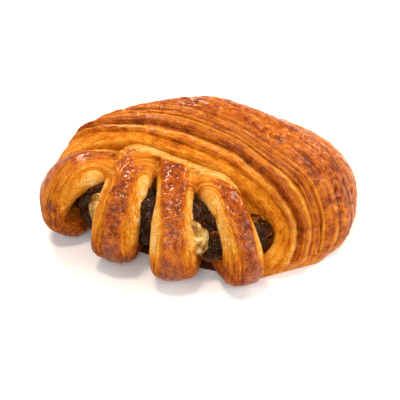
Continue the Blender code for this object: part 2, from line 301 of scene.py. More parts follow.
# Strands of the palm.  STRAND_LINES says how far each strand lies from the lip in
# the middle of the palm.  STRAND_AT has a column for each strand and a row for
# each place along the palm, from its back left end to its front right end, and
# says how far the strand lies from the lip there.
STRAND_LINES = (-20, 0, 2.0, 4.0, 5.8, 7.8, 10.4, 13.6, 15.2, 17.8, 20.0, 30.0, 120.0)
STRAND_PLACES = (0.0, 0.20, 0.25, 0.30, 0.35, 0.40, 0.45, 0.50, 0.55, 0.60, 0.65, 0.70, 0.75, 0.80,
                 0.85, 0.90, 0.95, 1.0)
STRAND_AT = (
    (-20, 0, 12.5, 15.5, 16.5, 17.8, 19.6, 21.8, 23.4, 26.0, 29.0, 40.0, 130),
    (-20, 0, 10.4, 13.0, 14.2, 15.8, 17.6, 19.8, 21.4, 24.0, 27.0, 37.0, 127),
    (-20, 0, 8.2, 11.0, 12.3, 14.2, 16.4, 19.0, 20.8, 23.4, 26.0, 36.0, 126),
    (-20, 0, 6.0, 8.7, 10.4, 12.5, 15.2, 18.0, 20.0, 22.6, 25.0, 35.0, 125),
    (-20, 0, 4.4, 6.5, 8.5, 11.1, 14.0, 17.2, 19.0, 21.6, 24.0, 34.0, 124),
    (-20, 0, 3.4, 5.7, 8.2, 10.8, 13.5, 16.6, 18.5, 21.0, 23.2, 33.0, 123),
    (-20, 0, 3.1, 5.7, 8.2, 10.4, 12.7, 16.2, 18.0, 20.4, 22.5, 32.0, 122),
    (-20, 0, 3.0, 5.6, 8.0, 10.0, 12.4, 15.8, 17.4, 19.6, 21.6, 31.0, 121),
    (-20, 0, 2.7, 5.2, 7.5, 9.6, 11.9, 14.8, 16.4, 18.6, 20.8, 30.5, 120),
    (-20, 0, 2.2, 4.2, 6.6, 8.7, 11.2, 13.9, 15.5, 17.8, 20.2, 30.0, 120),
    (-20, 0, 2.0, 3.8, 5.8, 7.8, 10.4, 13.4, 15.1, 17.8, 20.0, 30.0, 120),
    (-20, 0, 2.4, 4.1, 5.7, 7.7, 10.1, 13.1, 15.3, 18.0, 20.4, 30.0, 120),
    (-20, 0, 3.4, 5.2, 6.9, 8.8, 11.3, 13.9, 16.3, 18.6, 21.5, 30.0, 120),
    (-20, 0, 4.4, 6.5, 8.2, 10.1, 12.7, 15.3, 18.0, 20.4, 23.0, 30.3, 120),
    (-20, 0, 5.5, 8.0, 9.6, 11.6, 14.3, 16.9, 19.6, 21.9, 24.6, 31.2, 121),
    (-20, 0, 6.6, 9.4, 11.0, 12.9, 15.7, 18.0, 20.4, 23.0, 26.0, 32.2, 122),
    (-20, 0, 7.5, 10.5, 12.0, 13.8, 16.5, 18.9, 21.0, 24.0, 27.0, 33.5, 123),
    (-20, 0, 8.0, 11.0, 12.5, 14.0, 16.8, 19.2, 21.5, 24.5, 27.5, 34.0, 124),
)

# What each strand is like, by its distance from the lip in the middle of the
# palm: how far it stands out in millimetres, and how brown it is, 0 to 1.  The
# deep grooves are browner, as painted shade.
STRANDS = (
    (-20, 0.0, 0.10), (-3, 0.0, 0.12), (-0.8, 0.0, 0.30), (0.2, 0.15, 0.38), (1.4, 0.45, 0.42),
    (2.4, 0.15, 0.55), (3.0, -0.15, 0.64), (3.6, 0.75, 0.62), (4.3, 1.05, 0.58), (5.0, 0.35, 0.45),
    (5.4, 0.25, 0.36), (5.9, 0.65, 0.30), (6.5, 0.30, 0.32), (7.1, -0.25, 0.60), (7.9, -0.85, 0.85),
    (8.6, 0.20, 0.80), (9.4, 1.15, 0.74), (10.3, 1.50, 0.72), (11.2, 1.20, 0.70), (12.0, 0.30, 0.62),
    (12.6, 0.05, 0.50), (13.2, 0.55, 0.36), (13.9, 0.50, 0.34), (14.5, -0.10, 0.46), (15.0, -0.65, 0.82),
    (15.5, 0.25, 0.50), (15.9, 0.50, 0.32), (16.3, 0.05, 0.62), (16.9, 0.55, 0.70), (17.8, 1.10, 0.66),
    (18.7, 0.65, 0.68), (19.3, -0.10, 0.76), (19.8, 0.50, 0.48), (20.4, 0.65, 0.42), (21.2, 0.15, 0.66),
    (22.5, 0.85, 0.64), (24.5, 1.10, 0.62), (26.0, 0.75, 0.66), (27.5, 1.15, 0.56), (30.0, 1.30, 0.52),
    (32.0, 0.85, 0.60), (34.0, 1.20, 0.56), (38.0, 1.15, 0.62), (42.0, 0.85, 0.60), (46.0, 0.95, 0.52),
    (52.0, 0.70, 0.48), (60.0, 0.60, 0.50), (75.0, 0.40, 0.46), (120.0, 0.10, 0.50),
)
# Deep folds at the front right: the strand, half the width and the depth; they are browned as painted shade.
FOLDS = ((19.2, 0.6, 1.0), (31.0, 0.8, 1.4), (38.0, 0.7, 0.7))


def strand_of(places, apart):
    """Which strand of the palm a point lies on."""
    columns = [np.interp(places, STRAND_PLACES, column) for column in zip(*STRAND_AT)]
    strand = np.full(apart.shape, float(STRAND_LINES[0]))
    for k in range(len(STRAND_LINES) - 1):
        low, high = columns[k], columns[k + 1]
        share = np.clip((apart - low) / (high - low), 0, 1)
        here = STRAND_LINES[k] + share * (STRAND_LINES[k + 1] - STRAND_LINES[k])
        strand = np.where(apart >= low, here, strand)
    return strand


def seams(u, v, w=0.0, seed=0):
    """1 on thin broken lines that run along u, 0 elsewhere."""
    return np.clip(1 - 4 * np.abs(noise(u, v, w, seed)), 0, 1)


def near_line(points, line):
    """Distance of each point from a line of points, and how far along the line it is."""
    best = np.full(len(points), 1e9)
    along = np.zeros(len(points))
    travelled = 0.0
    for a, b in zip(line[:-1], line[1:]):
        d = b - a
        t = np.clip((points - a) @ d / (d @ d), 0, 1)
        gap = np.linalg.norm(points - a - t[:, None] * d, axis=1)
        length = np.linalg.norm(d)
        closer = gap < best
        best = np.where(closer, gap, best)
        along = np.where(closer, travelled + t * length, along)
        travelled += length
    return best, along


def for_caps(values):
    """Rows for the palm's sections, the first and the last repeated for the rings of the caps."""
    count = len(END_CAP)
    return np.concatenate([values[:1]] * count + [values] + [values[-1:]] * count)


def bend_strands(grid, places, apart):
    """Places along the lip and distances from it, changed at the front right end so that the strands bend
    round the last slit at an even distance from the lip."""
    lip = spline([row[0] for row in PALM_STATIONS], PALM_STEPS)
    far, at = near_line(grid.reshape(-1, 3), lip[::3])
    at = (at / at.max()).reshape(apart.shape)
    steps = np.r_[0, np.cumsum(np.linalg.norm(np.diff(lip, axis=0), axis=1))]
    at = np.interp(at, steps / steps[-1], np.linspace(0, 1, len(lip)))
    bent = ease(0.72, 0.86, places)
    inside = np.arange(apart.shape[1]) < INSIDE_ROWS
    even = apart + (1.06 * far.reshape(apart.shape) - apart) * bent
    return places + (at - places) * bent * ~inside, np.where(inside, apart, even)


def make_palm():
    """The dome at the back, with ridges that follow its strands, folds, plies, blisters and puckers."""
    grid, places, apart = palm_grid()
    middle = grid[len(grid) // 2].mean(axis=0)
    grid = np.concatenate([end_cap(grid[0], middle)[::-1], grid, end_cap(grid[-1], middle)])
    places, apart = bend_strands(grid, for_caps(places), for_caps(apart))
    x, y, z = grid[..., 0], grid[..., 1], grid[..., 2]
    along = places * PALM_LENGTH
    wander = 0.35 * noise(along / 9, apart / 12, seed=3) + 0.15 * noise(along / 3, apart / 6, seed=4)
    strand = strand_of(places, apart) + wander * ease(0, 3, apart)

    # Ridges and folds, lower towards both ends.
    heights, browns = ([row[k] for row in STRANDS] for k in (1, 2))
    at = [row[0] for row in STRANDS]
    rise, brown = np.interp(strand, at, heights), np.interp(strand, at, browns)
    for fold_at, wide, depth in FOLDS:
        fold = np.exp(-((strand - fold_at) / wide) ** 2) * ease(0.70, 0.80, places)
        # Painted shade: each fold is browner.
        rise, brown = rise - depth * fold, brown + 0.30 * fold
    ends = ease(0.0, 0.16, places) * (1 - 0.45 * ease(0.78, 0.95, places))
    rise = 1.2 * rise * (0.45 + 0.55 * ends) * (1 + 0.25 * noise(along / 14, strand / 3, seed=5))

    # Plies with cracks between them on the ridges, and blisters on the plain
    # dough behind them.  Puckers are just over 1 mm across.
    plies = noise(along / 18, strand / 0.8, seed=6) + 0.6 * noise(along / 8, strand / 0.42, seed=7)
    cracks = seams(along / 10, strand / 1.1, seed=13) * ease(1, 3, strand)
    plain = ease(20, 27, strand) * (1 - 0.6 * ease(0.74, 0.86, places))
    rise += (0.16 * plies - 0.36 * cracks) * ease(0.5, 3, strand) * (1 - 0.55 * plain)
    blisters = noise(x / 3.4, y / 2.6, z / 2.6, 8) + 0.6 * noise(x / 1.7, y / 1.3, z / 1.3, 9)
    rise += 0.30 * blisters * plain + 0.14 * blisters * (1 - plain) * ease(1, 3, strand)
    puckers = noise(x / 1.3, y / 1.3, z / 1.3, 15)
    rise += 0.19 * puckers * ease(2, 4, strand)
    swell = noise(along / 22, strand / 9, seed=10)
    rise += 0.45 * swell * plain

    # All of it fades towards the table and towards the middle of each cap.
    shares = [share for share, _ in END_CAP]
    inland = np.array([*shares[::-1], *[1.0] * (len(grid) - 2 * len(shares)), *shares])[:, None]
    inland = ease(0.35, 0.97, inland)
    rise *= ease(-1.0, 5.0, z) * inland
    moved = grid + outward(grid, INSIDE_ROWS + PALM_ROWS // 3) * rise[..., None]
    moved[..., 2] = np.maximum(moved[..., 2], 0)
    # The left end is drawn in towards the table.
    low = 0.36 * (1 - ease(0, 10, z)) * (1 - ease(0.08, 0.24, places))
    moved[..., :2] += (np.array(LEFT_HUB) - moved[..., :2]) * low[..., None]

    # How brown it is: by strand first, then plies, cracks, blisters and puckers,
    # paler at the front right, with one darker spot on the crest's right.  Cracks are
    # browner as painted shade; blisters and puckers are paler on top, as painted
    # highlight, and browner in their hollows, as painted shade and where the wash pools.
    tone = 0.475 + 0.06 * plain + 0.66 * (brown - 0.52)
    tone = tone + 0.06 * noise(along / 12, strand / 1.2, seed=11) - 0.06 * blisters
    tone += 0.09 * cracks * (1 - 0.5 * ease(0.78, 0.86, places))
    tone += 0.08 * noise(x / 3, y / 3, z / 3, 14) - 0.05 * ease(0.78, 0.88, places)
    tone += 0.07 * swell * plain - 0.08 * ease(0.76, 0.90, places) * ease(6, 14, strand)
    tone += 0.10 * np.exp(-((places - 0.69) / 0.05) ** 2 - ((strand - 24) / 3.5) ** 2)
    tone -= 0.05 * (1 - ease(0.15, 0.35, places)) + (0.03 + 0.05 * plain) * puckers
    tone -= 0.04 * plain * blisters
    # Painted shade: the inner wall under the lip is a middle brown, darker than the pale lip above it.
    outside = ease(-2, 0.5, strand)
    tone = tone * outside + 0.50 * (1 - outside)
    tone = 0.48 + (tone - 0.48) * inland
    streak = (0.86 - 0.66 * plain) * (1 - 0.3 * ease(0.75, 0.88, places)) * inland
    glaze = ease(3, 5, strand) * (0.65 + 0.35 * noise(along / 9, strand / 2, seed=12))
    fields = {"tone": tone, "glaze": glaze, "streak": streak,
              "grain": np.stack([along, strand, 0 * along], axis=-1)}
    return closed_piece("ridged_dough", moved, fields)


# ---------------- toes and collar
def arch(hub, azimuth, reach, crown, knee, thick, angle):
    """Middle of a toe's thickness at one angle round its hub, and the direction out of its back."""
    out = np.array([math.cos(math.radians(azimuth)), math.sin(math.radians(azimuth)), 0])
    up = np.array([0, 0, 1.0])
    rise = crown - knee if angle > 0 else knee + 0.5 * BELOW_TABLE
    across = (reach - thick / 2) * math.cos(angle)
    above = (rise - thick / 2) * math.sin(angle)
    middle = np.array([*hub, knee]) + out * across + up * above
    normal = out * across / (reach - thick / 2) ** 2 + up * above / (rise - thick / 2) ** 2
    return middle, normal / np.linalg.norm(normal)


# The glazed band along the crown of each toe: how far its middle lies to the
# side of the toe's own, how much further right it lies at its start, and half
# its width, in millimetres; how far along the toe it starts, and how strong it is.
CROWNS = {
    "toe_1": (-5.0, 0, 5.0, 0.10, 0.72), "toe_2": (0.4, 0, 4.0, 0.26, 1.0),
    "toe_3": (-3.2, 2.6, 4.9, 0.15, 1.0), "toe_4": (0.8, 4.2, 4.3, 0.17, 1.0),
}


def neck_of(name, s):
    """At a place along a toe, its width as a share of its full width, and how far its middle is moved to
    the right."""
    start = 1 - ease(0.2, 0.6, s)
    return 1 - (1 - TOES[name][6][0]) * start, NECK_SHIFTS[name] * start


def make_toe(name, hub, azimuth, reach, crown, knee, width, ends, thick, last):
    """One toe, and the marks of the glazed band on it, of the band's rim and of its own foot."""
    side = np.array([-math.sin(math.radians(azimuth)), math.cos(math.radians(azimuth)), 0])
    turns = np.linspace(0, 2 * math.pi, TOE_SIDES, endpoint=False)
    across = np.sign(np.cos(turns)) * np.abs(np.cos(turns)) ** 0.75
    above = np.sign(np.sin(turns)) * np.abs(np.sin(turns)) ** 0.85
    rings, places = [], np.linspace(0, 1, TOE_RINGS)
    for s in places:
        angle = math.radians(TOE_START + (last - TOE_START) * s)
        middle, normal = arch(hub, azimuth, reach, crown, knee, thick, angle)
        trim = np.zeros(TOE_SIDES)
        for toe, sign, low, high, depth in TRIMS:
            bite = (toe == name) * depth * ease(low, low + 0.14, s) * (1 - ease(high - 0.26, high, s))
            trim -= sign * bite * np.clip(sign * across, 0, 1)
        tip = max(0.06, math.sqrt(1 - max(0.0, (s - 0.86) / 0.14) ** 2))
        neck, shift = neck_of(name, s)
        foot = 1 - (1 - ends[1]) * ease(0.6, 0.9, s)
        half = 0.5 * width * neck * foot * tip
        middle = middle - normal * TOE_SUNK * (1 - ease(0.16, 0.36, s)) + side * shift
        sideways = np.outer(across * half + trim, side)
        rings.append(middle + sideways + np.outer(above, normal) * 0.5 * thick * tip)
    grid = np.array(rings)
    # How far each point lies round the toe from the middle of its back.
    steps = np.linalg.norm(np.diff(grid, axis=1, append=grid[:, :1]), axis=2)
    top = TOE_SIDES // 4
    round_way = np.cumsum(steps, axis=1) - steps
    away = round_way - round_way[:, top:top + 1]
    girth = steps.sum(axis=1, keepdims=True)
    away = np.where(away > girth / 2, away - girth, away)
    # The band runs along the back with a ragged edge.
    lean, turn, half_band, begin, strength = CROWNS[name]
    lean = lean + turn * (1 - ease(0.12, 0.55, places[:, None]))
    seed = 20 + 7 * int(name[-1])
    along = places[:, None] * TOE_LENGTH + 0 * away
    edge = 0.5 * noise(along / 7, 0.0, seed=seed) + 0.3 * noise(along / 2.5, 0.0, seed=seed + 1)
    wide = half_band * (1.3 - 0.7 * places[:, None])
    off = np.abs(-away - lean) - edge
    band = strength * (1 - ease(wide - 1.5, wide + 1.1, off))
    ragged = places[:, None] + 0.03 * noise(away / 3, along / 9, seed=seed + 5)
    start = ease(begin - 0.03, begin + 0.05, ragged)
    fields = {"band": with_poles(band * start), "foot": with_poles(1 - ease(10, 24, grid[..., 2])),
              "rim": with_poles(np.exp(-((off - wide - 0.4) / 0.7) ** 2) * start)}
    return solid_of(name, with_poles(grid), skin_faces(*grid.shape[:2]), fields)


def make_collar():
    """The undivided dough above the slashes, from the first toe to past the last."""
    rows = np.array([[*hub, *facts[:4]] for hub, *facts in TOES.values()], float)
    before = 1.3 * rows[0] - 0.3 * rows[1]
    after = 1.5 * rows[3] - 0.5 * rows[2]
    rings = []
    for x, y, azimuth, reach, crown, knee in spline([before, *rows, after], 220):
        top, bottom = [], []
        for angle in np.radians(np.linspace(135, COLLAR_END, 40)):
            middle, normal = arch((x, y), azimuth, reach, crown - COLLAR_DROP, knee, COLLAR_THICK, angle)
            top.append(middle + normal * COLLAR_THICK / 2)
            bottom.append(middle - normal * COLLAR_THICK / 2)
        rings.append(top + bottom[::-1])
    grid = np.array(rings)
    x = grid[..., 0]
    fields = {title: with_poles(0 * x) for title in ("band", "foot", "rim")}
    return solid_of("collar", with_poles(grid), skin_faces(*grid.shape[:2]), fields)


SKIN_STEP = 0.5         # grid that the toes and the collar are merged on
# Each slit: how far it lies from the first toe towards the last, counted in
# toes, and the angle round them at which it starts.
SLITS = ((0.62, 54), (1.48, 64), (2.42, 58), (3.60, 58))
SLIT_THICK = 12         # thickness of the toes beside it
SLIT_LAST = -70         # angle at which it reaches the table
STRIP = 5.0             # width of the pale strip under the palm's lip


def only(objects):
    """Select these objects alone, the first one active."""
    bpy.ops.object.select_all(action="DESELECT")
    for obj in objects:
        obj.select_set(True)
    bpy.context.view_layer.objects.active = objects[0]


def apply_modifier(obj, kind, **settings):
    """Add a modifier with these settings and apply it."""
    only([obj])
    modifier = obj.modifiers.new(kind.lower(), kind)
    for key, value in settings.items():
        setattr(modifier, key, value)
    bpy.ops.object.modifier_apply(modifier=modifier.name)


def read_points(mesh):
    """A mesh's points in metres, one row each."""
    points = np.zeros(len(mesh.vertices) * 3)
    mesh.vertices.foreach_get("co", points)
    return points.reshape(-1, 3)


def read_field(mesh, title):
    """A number or a triple kept at each point."""
    layer = mesh.attributes[title]
    if layer.data_type == "FLOAT_VECTOR":
        values = np.zeros(len(mesh.vertices) * 3)
        layer.data.foreach_get("vector", values)
        return values.reshape(-1, 3)
    values = np.zeros(len(mesh.vertices))
    layer.data.foreach_get("value", values)
    return values


def slit_lines():
    """Middle line of each slit over the toes' backs, from its top to the table."""
    rows = [[*hub, *facts[:5]] for hub, *facts in TOES.values()]
    rows.append((1.5 * np.array(rows[3]) - 0.5 * np.array(rows[2])).tolist())
    per_toe = 100
    loft = spline(rows, (len(rows) - 1) * per_toe + 1)
    lines = []
    for place, top in SLITS:
        x, y, azimuth, reach, crown, knee, _ = loft[round(per_toe * place)]
        line = []
        for angle in np.radians(np.linspace(top, SLIT_LAST, 60)):
            middle, normal = arch((x, y), azimuth, reach, crown, knee, SLIT_THICK, angle)
            line.append(middle + normal * SLIT_THICK / 2)
        lines.append(np.array(line))
    return lines


def neighbours(mesh):
    """The points at the first and at the second end of each edge."""
    edges = np.zeros(len(mesh.edges) * 2, dtype=np.int64)
    mesh.edges.foreach_get("vertices", edges)
    return edges.reshape(-1, 2).T


def spread(edges, values, weight, rounds):
    """Even out a field between neighbouring points, by each point's weight."""
    a, b = edges
    count = len(values)
    near = np.maximum(np.bincount(a, minlength=count) + np.bincount(b, minlength=count), 1)
    weight = weight.reshape((-1,) + (1,) * (values.ndim - 1))
    for _ in range(rounds):
        columns = values.reshape(count, -1).T
        sums_near = [np.bincount(a, c[b], count) + np.bincount(b, c[a], count) for c in columns]
        mean = (np.array(sums_near) / near).T
        values = values + (mean.reshape(values.shape) - values) * weight
    return values


def tree_of(obj):
    """A search tree of an object's faces, and the points of each face."""
    mesh = obj.data
    faces = [list(f.vertices) for f in mesh.polygons]
    return BVHTree.FromPolygons([Vector(p) for p in read_points(mesh)], faces), faces


def merge_front(collar, toes):
    """One skin round the toes and the collar, with the corners between them filled and the toes' marks
    carried over."""
    collar_tree, _ = tree_of(collar)
    trees = [tree_of(toe) for toe in toes]
    marks = {t: [read_field(toe.data, t) for toe in toes] for t in ("band", "foot", "rim")}
    only([collar, *toes])
    bpy.ops.object.join()
    front = bpy.context.view_layer.objects.active
    front.name = "slashed_toes"
    apply_modifier(front, "REMESH", mode="VOXEL", voxel_size=SKIN_STEP * MM)
    mesh = front.data
    edges = neighbours(mesh)
    here = read_points(mesh)
    to_collar = np.empty(len(here))
    to_toe = np.full(len(here), 99.0)
    fields = {t: np.zeros(len(here)) for t in marks}
    for i, p in enumerate(here):
        spot = Vector(p)
        to_collar[i] = collar_tree.find_nearest(spot)[3] / MM
        for k, (tree, faces) in enumerate(trees):
            _, _, face, gap = tree.find_nearest(spot)
            if gap / MM < to_toe[i]:
                to_toe[i] = gap / MM
                for title, values in marks.items():
                    fields[title][i] = values[k][faces[face]].mean()
    # Evened out a little all over, and a lot within 2 mm of both a toe and the collar.
    corner = np.exp(-(np.maximum(to_collar, to_toe) / 2.0) ** 2)
    here = spread(edges, here, 0.25 + 0.6 * corner, 3)
    here = spread(edges, here, 0.9 * corner, 15)
    mesh.vertices.foreach_set("co", here.ravel())
    over = 1 - ease(1.2, 3.2, to_toe)
    for title, values in fields.items():
        write_field(mesh, title, spread(edges, values * over, 0.6 + 0 * over, 3))
    return front


def finish_front(front):
    """Stand the plies of the toes' flanks and the wrinkles of their glazed crowns out of the skin, and
    brown them, with painted shade in their cracks and in the crack under the palm's lip, and painted
    highlights on the tops of the crowns' wrinkles."""
    mesh = front.data
    points = read_points(mesh) / MM - SHIFT
    band, foot, rim = (read_field(mesh, t) for t in ("band", "foot", "rim"))
    # The nearest slit of each point: how far off it is, how far along it, and which.
    gap, along, who = np.full(len(points), 1e9), np.zeros(len(points)), np.zeros(len(points))
    for k, line in enumerate(slit_lines()):
        far, at = near_line(points, line)
        closer = far < gap
        gap, along = np.where(closer, far, gap), np.where(closer, at, along)
        who = np.where(closer, 10.0 * k, who)
    lip = spline([row[0] for row in PALM_STATIONS], 160)
    from_lip, lip_at = near_line(points, lip)
    x, y, z = points.T
    gap = gap + 0.35 * noise(x / 8, y / 8, z / 8, 74)
    plies = noise(along / 16, gap / 0.75, who, 70) + 0.6 * noise(along / 7, gap / 0.42, who, 71)
    cracks = seams(along / 14, gap / 0.9, who, 78)
    wrinkles = noise(x / 2.4, y / 2.4, z / 2.4, 72) + 0.6 * noise(x / 1.2, y / 1.2, z / 1.2, 73)
    crumb = noise(x / 0.9, y / 0.9, z / 0.9, 75) + 0.6 * noise(x / 0.5, y / 0.5, z / 0.5, 76)
    ragged = from_lip + 0.5 * noise(x / 4, y / 4, seed=77)
    strip = (1 - ease(STRIP - 0.8, STRIP + 0.6, ragged)) * ease(8, 22, lip_at)
    band, rim = band * (1 - strip), rim * (1 - strip)
    # Painted shadow: a dark line along the crack under the palm's lip.
    crack_shadow = 1 - ease(0.4, 1.7, from_lip + 0.2 * noise(x / 2, y / 2, seed=79))
    end = 1 - ease(0.5, 4.0, along)
    clear = ease(2.5 + 2.5 * end, 4.5 + 2.5 * end, gap)
    rise = (0.24 * plies - 0.4 * cracks) * clear * (1 - band) * (1 - 0.7 * strip)
    rise = rise + 0.30 * wrinkles * band + 0.4 * band
    rise += 0.05 * wrinkles * (1 - band) + 0.10 * crumb * (strip + 0.4) - 0.3 * rim
    rise *= ease(-0.5, 4, z)
    normals = np.zeros(len(mesh.vertices) * 3)
    mesh.vertex_normals.foreach_get("vector", normals)
    points = points + normals.reshape(-1, 3) * rise[:, None]
    points[:, 2] = np.maximum(points[:, 2], 0)
    mesh.vertices.foreach_set("co", ((points + SHIFT) * MM).ravel())
    mesh.update()
    blotch = noise(x / 6, y / 5, z / 6, 60) + 0.6 * noise(x / 2.6, y / 2.2, z / 2.6, 61)
    toast = ease(3.5, 11, gap)
    # Painted shade: the cracks between the plies are browner.
    tone = 0.17 + 0.18 * toast + (0.07 * plies + 0.15 * cracks) * clear
    tone = tone + 0.06 * np.clip(blotch, -0.4, 1) * toast
    tone += 0.08 * ease(7, 14, gap) * ease(48, 54, -x)
    patch = ease(0.45, 0.95, blotch + 0.4 * noise(x / 9, y / 9, z / 9, 62)) * ease(7, 11, gap) * (1 - strip)
    tone += 0.26 * patch
    # Painted highlight and shade: the band's wrinkles are paler on top and browner in their hollows.
    tone = tone + (0.71 + 0.07 * blotch - 0.07 * wrinkles - tone) * band + 0.12 * rim * (1 - band)
    tone = tone + (0.17 + 0.06 * crumb - tone) * strip
    baked = foot * (0.75 + 0.2 * band + 0.1 * blotch)
    tone = tone + (0.77 + 0.07 * blotch + 0.06 * crumb - tone) * baked
    tone = tone + (0.80 - tone) * crack_shadow
    glaze = np.clip(band * (0.8 + 0.2 * wrinkles) + 0.5 * patch + 0.12, 0, 1) * (1 - strip)
    write_field(mesh, "tone", tone)
    write_field(mesh, "glaze", glaze)
    write_field(mesh, "streak", (1 - 0.9 * band) * clear)
    write_field(mesh, "grain", np.stack([along, gap, who], axis=-1))


def make_underside():
    """The flat pale bottom that closes the pastry between the palm and the toes."""
    outline = spline(FLOOR_OUTLINE + FLOOR_OUTLINE[:1], 260)[:-1]
    rings = []
    for z, scale in ((0.0, 0.94), (0.0, 0.97), (0.6, 0.992), (1.5, 1.0), (2.8, 0.992), (FLOOR_TOP, 0.96)):
        rings.append(np.c_[outline * scale, np.full(len(outline), z)])
    grid = np.array(rings)
    x, y = grid[..., 0], grid[..., 1]
    # Painted shade: browner under the slashes, between the toes.
    slit_shade = ease(8, 16, -y) * (1 - ease(24, 34, x))
    tone = 0.5 + 0.1 * noise(x / 6, y / 6, seed=80) + 0.7 * slit_shade
    fields = {"tone": tone, "glaze": 0 * x, "streak": 1 + 0 * x,
              "grain": np.stack([x, y, 0 * x + 5], axis=-1)}
    return closed_piece("underside", grid, fields)


# ---------------- the filling
def tube_grid(route, size, right_end, rings, sides):
    """Points of a slightly lumpy tube along a route, smaller towards its right end."""
    line = spline(route, rings)
    grid = []
    for i, (p, d) in enumerate(zip(line, np.gradient(line, axis=0))):
        d = d / np.linalg.norm(d)
        side = np.cross(d, [0, 0, 1.0])
        side /= np.linalg.norm(side)
        up = np.cross(side, d)
        s = i / (rings - 1)
        end = min(1.0, 8 * min(s, 1 - s) + 0.12) ** 0.5
        taper = 1 + (right_end - 1) * max(0.0, 2 * s - 1) ** 1.5
        a = np.linspace(0, 2 * math.pi, sides, endpoint=False)
        lump = 1 + 0.035 * np.sin(3 * a + 14 * s) + 0.03 * np.sin(2 * a - 23 * s)
        wide, high = (half * end * taper * lump for half in size)
        grid.append(p + np.outer(wide * np.cos(a), side) + np.outer(high * np.sin(a), up))
    return np.array(grid)


def lumps(points, spots, sizes):
    """Height of the round lump nearest each point, 0 in the creases between lumps and 1 on their tops."""
    best = np.full(len(points), -9.0)
    for spot, size in zip(spots, sizes):
        best = np.maximum(best, 1 - np.sum((points - spot) ** 2, axis=1) / size ** 2)
    return np.sqrt(np.clip(best, 0, 1))


RAISIN = 4.0            # half the length of a raisin
RAISIN_TRIES = 400
BARED = 2.6             # how much deeper the filling lies where the custard runs


def make_filling():
    """Raisins bedded in syrup, as round wrinkled lumps over the whole filling."""
    grid = tube_grid(FILLING_ROUTE, FILLING_SIZE, FILLING_RIGHT_END, 260, 170)
    rng = np.random.default_rng(11)
    flat = grid.reshape(-1, 3)
    spots = flat[rng.choice(len(flat), RAISIN_TRIES, replace=False)]
    kept = []
    for spot in spots:
        if all(np.linalg.norm(spot - other) > 1.15 * RAISIN for other in kept):
            kept.append(spot)
    sizes = RAISIN * rng.uniform(0.8, 1.15, len(kept))
    tops = lumps(flat, kept, sizes).reshape(grid.shape[:2])
    x, y, z = grid[..., 0], grid[..., 1], grid[..., 2]
    wrinkles = 1 - 2.4 * np.abs(noise(x / 1.4, y / 1.4, z / 1.4, 90))
    wrinkles = wrinkles + 0.7 * noise(x / 0.7, y / 0.7, z / 0.7, 91)
    out = outward(grid, grid.shape[1] // 4)
    gap, _ = near_line(flat, spline(CUSTARD_ROUTE, 90))
    bared = (BARED * np.exp(-(gap / 7) ** 4)).reshape(grid.shape[:2])
    grid = grid + out * (-1.6 + 2.1 * tops + 0.30 * wrinkles - bared)[..., None]
    syrup = np.clip(0.26 + 1.0 * noise(x / 6, y / 6, z / 6, 92) - 0.45 * tops, 0, 1)
    return closed_piece("raisins_in_syrup", grid, {"syrup": syrup})


def make_custard():
    """The custard vein, taller where it shows, with a curdled skin."""
    grid = tube_grid(CUSTARD_ROUTE, CUSTARD_SIZE, 1.0, 220, 80)
    places = np.linspace(0, 1, len(grid))
    swell = 1 + sum((times - 1) * np.exp(-((places - at) / wide) ** 2) for at, wide, times in CUSTARD_SWELLS)
    height = grid[..., 2].mean(axis=1, keepdims=True)
    grid[..., 2] = height + (grid[..., 2] - height) * swell[:, None]
    x, y, z = grid[..., 0], grid[..., 1], grid[..., 2]
    curd = noise(x / 3, y / 3, z / 3, 95) + 0.5 * noise(x / 1.3, y / 1.3, z / 1.3, 96)
    out = outward(grid, grid.shape[1] // 4)
    grid = grid + out * (0.3 * curd)[..., None]
    return closed_piece("soft_custard", grid, {"curd": curd})


# ---------------- finishes
def colour(code):
    """A hex colour as Blender's linear values."""
    parts = [int(code[i:i + 2], 16) / 255 for i in (1, 3, 5)]
    return (*(c / 12.92 if c <= 0.04045 else ((c + 0.055) / 1.055) ** 2.4 for c in parts), 1)


def fill(tree, node, **inputs):
    """Set each input of a node from a value or another node's output."""
    for key, value in inputs.items():
        socket = node.inputs[int(key[1:])] if key[1:].isdigit() else node.inputs[key.replace("_", " ")]
        if isinstance(value, bpy.types.NodeSocket):
            tree.links.new(value, socket)
        else:
            socket.default_value = value


def add(tree, kind, settings=None, stops=(), **inputs):
    """A node with its settings, a colour ramp's stops and its inputs."""
    node = tree.nodes.new(kind)
    for key, value in (settings or {}).items():
        setattr(node, key, value)
    if stops:
        elements = node.color_ramp.elements
        elements.remove(elements[1])
        elements[0].position, elements[0].color = stops[0][0], colour(stops[0][1])
        for place, code in stops[1:]:
            elements.new(place).color = colour(code)
    fill(tree, node, **inputs)
    return node


def new_material(name):
    """A material, its node tree and its shader."""
    material = bpy.data.materials.new(name)
    material.use_nodes = True
    return material, material.node_tree, material.node_tree.nodes["Principled BSDF"]


def sums(tree, start, *terms):
    """start plus each (output, share of it), the outputs being centred on a half."""
    total = start
    for output, share in terms:
        centred = add(tree, "ShaderNodeMath", {"operation": "SUBTRACT"}, _0=output, _1=0.5).outputs[0]
        settings = {"operation": "MULTIPLY_ADD"}
        total = add(tree, "ShaderNodeMath", settings, _0=centred, _1=share, _2=total).outputs[0]
    return total


CRUST_STOPS = (
    (0.00, "#f3d397"), (0.12, "#edb963"), (0.24, "#e69f38"), (0.36, "#df8a20"), (0.48, "#cf7414"),
    (0.60, "#b95b0c"), (0.72, "#9a4308"), (0.84, "#742d06"), (1.00, "#451704"),
)
RAISIN_STOPS = ((0.0, "#0a0200"), (0.45, "#1a0501"), (0.62, "#3c1404"), (0.80, "#7c3a0a"), (1.0, "#b87222"))
CUSTARD_STOPS = ((0.0, "#4c260a"), (0.25, "#7a4c18"), (0.5, "#987032"), (0.75, "#bb9452"), (1.0, "#dbc088"))
BOARD_STOPS = ((0.0, "#f1f0ef"), (1.0, "#f6f5f4"))
# Colour of the painted glints on the raisins.
PAINTED_GLINT = "#c48038"
AMBER_SHINE = "#ffa860"         # reflections off egg wash and syrup are warm
CUSTARD_SHINE = "#ffd890"


